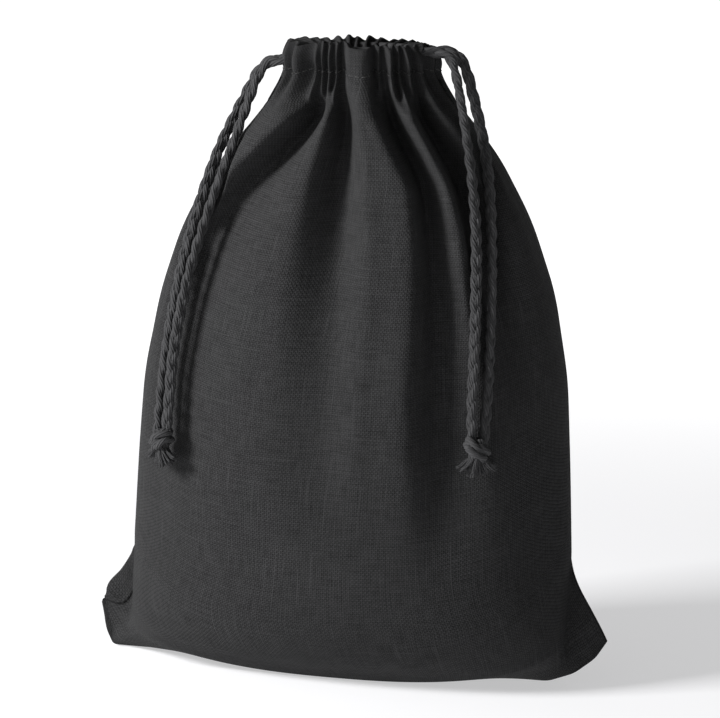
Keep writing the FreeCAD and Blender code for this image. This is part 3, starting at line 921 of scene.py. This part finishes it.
class GIFTSACK_OT_seams(bpy.types.Operator):
    """Adds the sewn edges inside the sack"""
    bl_idname = "giftsack.seams"
    bl_label = "Sewn edges"

    def execute(self, context):
        sizes, colours = context.scene.sack_sizes, context.scene.sack_colours
        material = finish_named("black_plain_weave", woven_cloth, sizes, colours)
        front, back = SETTLED["front"], SETTLED["back"]
        middle = (front + back) / 2
        first, inset = int(SIDE_EDGES_START * sizes.rows), SHORT_OF_THE_EARS
        strips = {
            "left_side_seam": middle[first:-2, 1:EDGE_CELLS],
            "right_side_seam": middle[first:-2, -EDGE_CELLS:-1],
            "bottom_seam": middle[:EDGE_CELLS, inset:-inset] + np.array([0.0, 0.0, BOTTOM_EDGE_LIFT]),
        }
        for node, strip in strips.items():
            numbers = np.arange(strip[..., 0].size).reshape(strip.shape[:2])
            places = strip.reshape(-1, 3) * MM
            flat = np.stack([places[:, 0] * 0.5, places[:, 2], places[:, 2] * 0], axis=1)
            name = node + "_edge"
            piece = mesh_piece(name, places, grid_faces(numbers), material, "cloth_place", flat)
            thicken(piece, sizes, 0.0)
            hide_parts(node)
            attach(piece, "sack")
        return {"FINISHED"}


# Each stitch is a short arc of thread, in millimetres.
STITCH_PITCH = 2.7
STITCH_LENGTH = 1.9
STITCH_POINTS = 7
STITCH_SIDES = 6
STITCH_STANDS_OUT = 0.06
STITCH_RISE = 0.2
STITCH_RADIUS = 0.17
FIRST_STITCH = 1.0
LAST_STITCH = 2.5


class GIFTSACK_OT_stitching(bpy.types.Operator):
    """Sews the hem stitches below both channels"""
    bl_idname = "giftsack.stitching"
    bl_label = "Hem stitching"

    def execute(self, context):
        colours = context.scene.sack_colours
        material = finish_named("black_sewing_thread", sewing_thread, colours)
        for side in ("front", "back"):
            row = SETTLED[side][-1]
            sign = -1.0 if side == "front" else 1.0
            travel = travel_along(row)
            heading = np.gradient(row, axis=0)
            outward = np.cross(heading, (0.0, 0.0, 1.0)) * -sign
            outward /= np.linalg.norm(outward, axis=1)[:, None] + 1e-9
            arc = STITCH_STANDS_OUT + STITCH_RISE * np.sin(np.linspace(0, math.pi, STITCH_POINTS))
            lines = []
            for start in np.arange(FIRST_STITCH, travel[-1] - LAST_STITCH, STITCH_PITCH):
                along = start + np.linspace(0.0, STITCH_LENGTH, STITCH_POINTS)
                line = read_along(along, travel, row) + read_along(along, travel, outward) * arc[:, None]
                lines.append(line * MM)
            points, faces, places = tubes(lines, [STITCH_RADIUS * MM] * len(lines), STITCH_SIDES)
            piece = mesh_piece(side + "_hem_stitches", points, faces, material, "yarn_place", places)
            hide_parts(side + "_channel_stitching")
            blend_to_rim(piece)
        return {"FINISHED"}


# ---------------------------------------------------------------- cords
# Each cord end's route, from inside its passage in the gathered mouth to its knot, in millimetres.
LEG_ROUTES = {
    "left_cord_back": [
        (-13.7, 4.0, 232.1), (-20.5, 4.0, 232.1), (-26.4, 4.0, 232.1), (-31.2, 3.9, 231.4),
        (-35.2, 3.2, 228.0), (-38.6, 1.8, 221.0), (-43.0, -1.4, 211.5), (-48.0, -8.4, 198.5),
        (-53.2, -16.0, 180.0), (-59.0, -22.4, 156.0), (-63.2, -27.4, 130.0), (-65.0, -30.8, 108.0),
        (-65.4, -32.9, 94.0),
    ],
    "left_cord_front": [
        (-13.7, -4.0, 232.1), (-20.5, -4.0, 232.1), (-26.4, -4.0, 232.1), (-30.4, -4.1, 231.0),
        (-33.4, -5.0, 226.8), (-35.8, -7.4, 219.0), (-38.8, -11.6, 208.0), (-43.6, -16.8, 193.5),
        (-49.6, -21.8, 174.0), (-56.0, -26.6, 150.0), (-59.8, -30.8, 126.0), (-60.8, -33.2, 107.0),
        (-61.8, -34.9, 94.0),
    ],
    "right_cord_back": [
        (22.9, 4.0, 236.2), (29.0, 4.0, 236.2), (35.6, 4.0, 236.2), (40.4, 3.9, 235.0),
        (43.8, 2.8, 229.6), (46.6, 0.4, 221.0), (50.2, -3.6, 210.4), (54.4, -10.4, 196.5),
        (57.4, -17.8, 178.0), (59.2, -24.4, 154.0), (59.6, -30.6, 128.0), (59.2, -34.2, 110.0),
        (58.4, -36.8, 97.0),
    ],
    "right_cord_front": [
        (22.9, -4.0, 236.2), (29.0, -4.0, 236.2), (35.6, -4.0, 236.2), (39.4, -4.3, 234.4),
        (41.6, -5.8, 228.4), (44.0, -8.8, 219.4), (47.0, -13.4, 207.5), (50.4, -18.6, 191.5),
        (53.2, -24.2, 171.5), (54.2, -29.8, 149.0), (54.6, -35.0, 126.0), (54.4, -38.0, 110.0),
        (54.6, -38.6, 97.0),
    ],
}
KNOT_PLACES = {"left": (-63.6, -34.0, 93.5), "right": (56.5, -37.8, 96.5)}
KNOT_TURNS = {"left": -31.0, "right": 21.0}
# Height of each pair of cord exits, in metres, where the cloth tube round them is centred.
EXIT_HEIGHT = {"left": 0.2321, "right": 0.2362}
# Distance between the points along each cord end's line, in metres.
CORD_STEP = 0.0005
# How much further on each cord end's plait starts than the one before.
PLAIT_OFFSET = 1.7


class GIFTSACK_OT_cord_ends(bpy.types.Operator):
    """Plaits the four cord ends from the mouth to their knots"""
    bl_idname = "giftsack.cord_ends"
    bl_label = "Cord ends"

    def execute(self, context):
        sizes, colours = context.scene.cord_sizes, context.scene.sack_colours
        material = finish_named("black_cotton_cord", cotton_yarn, colours)
        for index, (name, route) in enumerate(LEG_ROUTES.items()):
            points = [Vector(point) * MM for point in route]
            line, length = spline_line(points, CORD_STEP)
            strands, radius = plait(line, sizes.diameter, sizes.plait_length, PLAIT_OFFSET * index)
            found, faces, places = tubes(strands, [radius] * STRANDS, STRAND_SIDES, STRAND_TONES, YARNS)
            piece = mesh_piece(name + "_end", found, faces, material, "yarn_place", places)
            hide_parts(name + "_exit", name + "_leg")
            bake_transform(piece)
        return {"FINISHED"}


def at_knot(side, points):
    """Points measured from a knot's middle, across it, out of it and up, as places on the sack."""
    turn = math.radians(KNOT_TURNS[side])
    across = np.array([math.cos(turn), math.sin(turn), 0.0])
    outward = np.array([math.sin(turn), -math.cos(turn), 0.0])
    upward = np.array([0.0, 0.0, 1.0])
    points = np.asarray(points)
    return (np.array(KNOT_PLACES[side]) + points[:, :1] * across + points[:, 1:2] * outward
            + points[:, 2:] * upward) * MM


# Each knot is two slanting bands, one below the other, and the tucked cord that they hold. For
# each band, how far down it lies and how far across it reaches, in millimetres.
KNOT_BANDS = ((0.0, 3.2), (2.3, 2.9))
KNOT_SLANTS = {"left": -1.0, "right": 1.0}
BAND_DEPTH = 2.7
BAND_SLANT = 2.1
BAND_SHIFT = 0.3
BAND_TOP = 0.9
BAND_THICKNESS = 0.94
TUCK_THICKNESS = 1.2
TUCK_SWING = 0.9
TUCK_TOP = 3.4
TUCK_LENGTH = 7.0
TUCK_FORWARD = 0.5


class GIFTSACK_OT_knots(bpy.types.Operator):
    """Ties a knot in each pair of cord ends"""
    bl_idname = "giftsack.knots"
    bl_label = "Knots"

    def execute(self, context):
        sizes, colours = context.scene.cord_sizes, context.scene.sack_colours
        material = finish_named("black_cotton_cord", cotton_yarn, colours)
        turn = np.linspace(0.0, 2 * math.pi, 100)
        tuck = np.linspace(0.0, 1.0, 40)
        for side, slant in KNOT_SLANTS.items():
            runs = []
            for shift, reach in KNOT_BANDS:
                across = reach * np.cos(turn) - BAND_SHIFT * shift * slant
                outward = BAND_DEPTH * np.sin(turn) + 0.3
                up = -BAND_SLANT * slant * np.cos(turn) + BAND_TOP - shift
                runs.append((across, outward, up, BAND_THICKNESS, shift))
            across = TUCK_SWING * slant * np.cos(3 * tuck)
            outward = TUCK_FORWARD + 0 * tuck
            runs.append((across, outward, TUCK_TOP - TUCK_LENGTH * tuck, TUCK_THICKNESS, 0.4))
            lines, radii = [], []
            for across, outward, up, thickness, start_turn in runs:
                line = at_knot(side, np.stack([across, outward, up], axis=1))
                strands, radius = plait(line, sizes.diameter * thickness, sizes.plait_length, start_turn)
                lines += strands
                radii += [radius] * STRANDS
            tones = STRAND_TONES * len(runs)
            points, faces, places = tubes(lines, radii, STRAND_SIDES, tones, YARNS)
            piece = mesh_piece(side + "_cord_knot", points, faces, material, "yarn_place", places)
            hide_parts(side + "_knot")
            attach(piece, side + "_tail")
        return {"FINISHED"}


# Loose yarns: where they leave the knot, how far they fan out below it, their lengths as shares
# of the tassel's, how much they curl, and how thick they are, in millimetres.
TASSEL_SEEDS = {"left": 31, "right": 47}
YARN_POINTS = 12
YARN_SIDES = 7
YARN_LENGTHS = (0.72, 1.05)
YARN_RADII = (0.5, 0.34)
YARN_CURL = 1.2
TASSEL_HALF_WIDTH = 1.9
TASSEL_HALF_DEPTH = 1.5
TASSEL_FAN = 6.0
TASSEL_TOP = -2.4


class GIFTSACK_OT_tassels(bpy.types.Operator):
    """Frays the cord ends below each knot"""
    bl_idname = "giftsack.tassels"
    bl_label = "Tassels"

    def execute(self, context):
        sizes, colours = context.scene.cord_sizes, context.scene.sack_colours
        material = finish_named("black_cotton_cord", cotton_yarn, colours)
        part = np.linspace(0.0, 1.0, YARN_POINTS)
        for side, seed in TASSEL_SEEDS.items():
            random = np.random.default_rng(seed)
            lines, radii, tones = [], [], []
            for _ in range(sizes.tassel_yarns):
                fan, depth = random.uniform(-1.0, 1.0), random.uniform(-1.0, 1.0)
                length = sizes.tassel_length / MM * random.uniform(*YARN_LENGTHS) * (1 - 0.18 * abs(fan))
                curl = random.uniform(-YARN_CURL, YARN_CURL)
                x = TASSEL_HALF_WIDTH * fan + TASSEL_FAN * fan * part ** 1.3
                x += curl * 0.4 * np.sin(4.4 * part + curl)
                y = 0.3 + TASSEL_HALF_DEPTH * depth * (1 + part * 0.3) + curl * 0.3 * np.sin(3.7 * part)
                z = TASSEL_TOP - length * part * (1 - 0.3 * fan ** 2 * part)
                lines.append(at_knot(side, np.stack([x, y, z], axis=1)))
                radii.append(np.linspace(*YARN_RADII, YARN_POINTS) * MM)
                tones.append(random.uniform(0.1, 1.0))
            points, faces, places = tubes(lines, radii, YARN_SIDES, tones)
            piece = mesh_piece(side + "_cord_tassel", points, faces, material, "yarn_place", places)
            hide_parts(side + "_tassel")
            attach(piece, side + "_tail")
        return {"FINISHED"}


class GIFTSACK_OT_cords_inside(bpy.types.Operator):
    """Gives the cords inside the channels their finish"""
    bl_idname = "giftsack.cords_inside"
    bl_label = "Cords in the channels"

    def execute(self, context):
        material = finish_named("black_cord_in_the_channel", hidden_cord, context.scene.sack_colours)
        for side in ("left", "right"):
            for node in (f"{side}_cord_front_run", f"{side}_cord_back_run", f"{side}_cord_return"):
                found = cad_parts[node]
                found.data.materials.clear()
                found.data.materials.append(material)
        return {"FINISHED"}


# The gathered cloth tube round each pair of cord exits, in millimetres: from its inner end to its
# mouth, and half its depth and height at the inner end. Both narrow a little towards the mouth.
TUBE_START = 18.3
TUBE_LENGTH = 6.0
TUBE_HALF_DEPTH = 6.4
TUBE_HALF_HEIGHT = 2.6
TUBE_NARROWING = 0.2
TUBE_STEPS = 12
TUBE_SIDES = 48
TUBE_FOLDS = 9
TUBE_FOLD_DEPTH = 0.6


class GIFTSACK_OT_channel_ends(bpy.types.Operator):
    """Folds the cloth round each pair of cord exits"""
    bl_idname = "giftsack.channel_ends"
    bl_label = "Channel ends"

    def execute(self, context):
        sizes, colours = context.scene.sack_sizes, context.scene.sack_colours
        material = finish_named("black_plain_weave", woven_cloth, sizes, colours)
        around = np.linspace(0.0, 2 * math.pi, TUBE_SIDES + 1)
        for side, sign in (("left", -1.0), ("right", 1.0)):
            points, places = [], []
            for step in range(TUBE_STEPS + 1):
                part = step / TUBE_STEPS
                out = TUBE_START + TUBE_LENGTH * part
                half_depth = TUBE_HALF_DEPTH - TUBE_NARROWING * part
                half_height = TUBE_HALF_HEIGHT - TUBE_NARROWING * part
                fold = TUBE_FOLD_DEPTH * np.sin(around * TUBE_FOLDS + 1.3 * part) * math.sqrt(part)
                y = np.cos(around) * (half_depth + fold)
                z = EXIT_HEIGHT[side] / MM - 0.1 + np.sin(around) * (half_height + fold * 0.3)
                x = NECK_LEAN + sign * (out + 0.5 * np.sin(around * 3))
                points.append(np.stack([x, y, z], axis=1))
                climb = np.full(TUBE_SIDES + 1, part * 0.015)
                places.append(np.stack([around * 0.006, climb, around * 0], axis=1))
            grid = np.array(points)
            numbers = np.arange(grid[..., 0].size).reshape(grid.shape[:2])
            piece = mesh_piece(side + "_cord_opening", grid.reshape(-1, 3) * MM,
                               grid_faces(numbers, sign > 0), material, "cloth_place",
                               np.array(places).reshape(-1, 3))
            thicken(piece, sizes, -1.0)
            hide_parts(side + "_channel_end")
            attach(piece, "sack")
        return {"FINISHED"}


# ---------------------------------------------------------------- stage
CAMERA_AROUND = 13.0
CAMERA_ABOVE = 11.0
CAMERA_DISTANCE = 1.15
CAMERA_TARGET = (0.0043, 0.0, 0.120)
METRES_ACROSS_THE_VIEW = 0.2707
SENSOR_WIDTH = 36.0
KEY_PLACE = (-1.0, -0.62, 0.72)
KEY_SIZE = 0.36
KEY_ENERGY = 28.0
# The surroundings are bright on the left and dark on the right: their places across, and strengths.
STUDIO_ACROSS = (-1.0, 0.6)
STUDIO_STRENGTHS = (0.5, 0.0)
WHITE = (1.0, 1.0, 1.0, 1.0)
# The floor glows more and more away from the sack, into a white studio.
FLOOR_REACH = 6.0
FLOOR_FADE = (0.2, 0.9)
FLOOR_GLOW_NEAR = (0.5, 0.5, 0.505, 1.0)
FLOOR_GLOW_FAR = (0.97, 0.97, 0.97, 1.0)


def aimed(name, data, place, heading):
    """A lamp or camera at a place, looking along a heading."""
    holder = bpy.data.objects.new(name, data)
    bpy.context.collection.objects.link(holder)
    holder.location = place
    holder.rotation_mode = "QUATERNION"
    holder.rotation_quaternion = heading.to_track_quat("-Z", "Y")
    return holder


class GIFTSACK_OT_stage(bpy.types.Operator):
    """Sets up the floor, the lights and the camera"""
    bl_idname = "giftsack.stage"
    bl_label = "Stage"

    def execute(self, context):
        scene, colours = context.scene, context.scene.sack_colours
        finish = material_finish("pale_floor")
        place = finish.node("ShaderNodeNewGeometry", {}, {}, "Position")
        away = finish.node("ShaderNodeVectorMath", {"operation": "LENGTH"}, {0: place}, "Value")
        glow = finish.mix(away.above(*FLOOR_FADE), FLOOR_GLOW_NEAR, FLOOR_GLOW_FAR)
        colour = finish.shades(finish.noise(place, 2.0, scale=3.0), colours.floor, 0.99, 1.01)
        pale = finish.surface(Base_Color=colour, Roughness=0.9, Specular_IOR_Level=0.1,
                              Emission_Color=glow, Emission_Strength=1.0)
        reach = FLOOR_REACH
        corners = [(-reach, -reach, 0), (reach, -reach, 0), (reach, reach, 0), (-reach, reach, 0)]
        floor = mesh_piece("floor", corners, [(0, 1, 2, 3)], pale)

        studio = Finish(bpy.data.worlds.new("studio"))
        direction = studio.node("ShaderNodeTexCoord", {}, {}, "Generated")
        across = studio.node("ShaderNodeSeparateXYZ", {}, {0: direction}, "X")
        fall = studio.node("ShaderNodeMapRange", {}, {
            "Value": across, "From Min": STUDIO_ACROSS[0], "From Max": STUDIO_ACROSS[1],
            "To Min": STUDIO_STRENGTHS[0], "To Max": STUDIO_STRENGTHS[1]})
        background = studio.node("ShaderNodeBackground", {}, {"Color": WHITE, "Strength": fall})
        studio.node("ShaderNodeOutputWorld", {}, {"Surface": background})
        scene.world = studio.owner

        target = Vector(CAMERA_TARGET)
        key = bpy.data.lights.new("key", "AREA")
        key.size = KEY_SIZE
        key.energy = KEY_ENERGY
        aimed("key", key, KEY_PLACE, target - Vector(KEY_PLACE))

        around, above = math.radians(CAMERA_AROUND), math.radians(CAMERA_ABOVE)
        level = math.cos(above)
        toward = Vector((math.sin(around) * level, -math.cos(around) * level, math.sin(above)))
        lens = bpy.data.cameras.new("camera")
        lens.sensor_width = SENSOR_WIDTH
        lens.lens = SENSOR_WIDTH * CAMERA_DISTANCE / METRES_ACROSS_THE_VIEW
        scene.camera = aimed("camera", lens, target + toward * CAMERA_DISTANCE, -toward)
        scene.view_settings.view_transform = "Standard"
        return {"FINISHED"}


# ---------------------------------------------------------------- panel and registration
class GIFTSACK_PT_sidebar(bpy.types.Panel):
    """Sizes, colours and steps of the gift sack"""
    bl_label = "Gift Sack"
    bl_idname = "GIFTSACK_PT_sidebar"
    bl_space_type = "VIEW_3D"
    bl_region_type = "UI"
    bl_category = "Gift Sack"

    def draw(self, context):
        for group in (context.scene.sack_sizes, context.scene.cord_sizes, context.scene.sack_colours):
            box = self.layout.box()
            for key in group.__annotations__:
                box.prop(group, key)
        for step in STEPS:
            self.layout.operator(step.bl_idname)


STEPS = (
    GIFTSACK_OT_stage,
    GIFTSACK_OT_knots,
    GIFTSACK_OT_tassels,
    GIFTSACK_OT_cord_ends,
    GIFTSACK_OT_cords_inside,
    GIFTSACK_OT_cloth,
    GIFTSACK_OT_seams,
    GIFTSACK_OT_stitching,
    GIFTSACK_OT_channel_ends,
)
GROUPS = {"sack_sizes": SackSizes, "cord_sizes": CordSizes, "sack_colours": SackColours}


def register():
    for kind in (*GROUPS.values(), *STEPS, GIFTSACK_PT_sidebar):
        bpy.utils.register_class(kind)
    for name, group in GROUPS.items():
        setattr(bpy.types.Scene, name, PointerProperty(type=group))


def unregister():
    for name in GROUPS:
        delattr(bpy.types.Scene, name)
    for kind in reversed((*GROUPS.values(), *STEPS, GIFTSACK_PT_sidebar)):
        bpy.utils.unregister_class(kind)


def main():
    register()
    for step in STEPS:
        group, name = step.bl_idname.split(".")
        getattr(getattr(bpy.ops, group), name)()


if __name__ == "__main__":
    main()
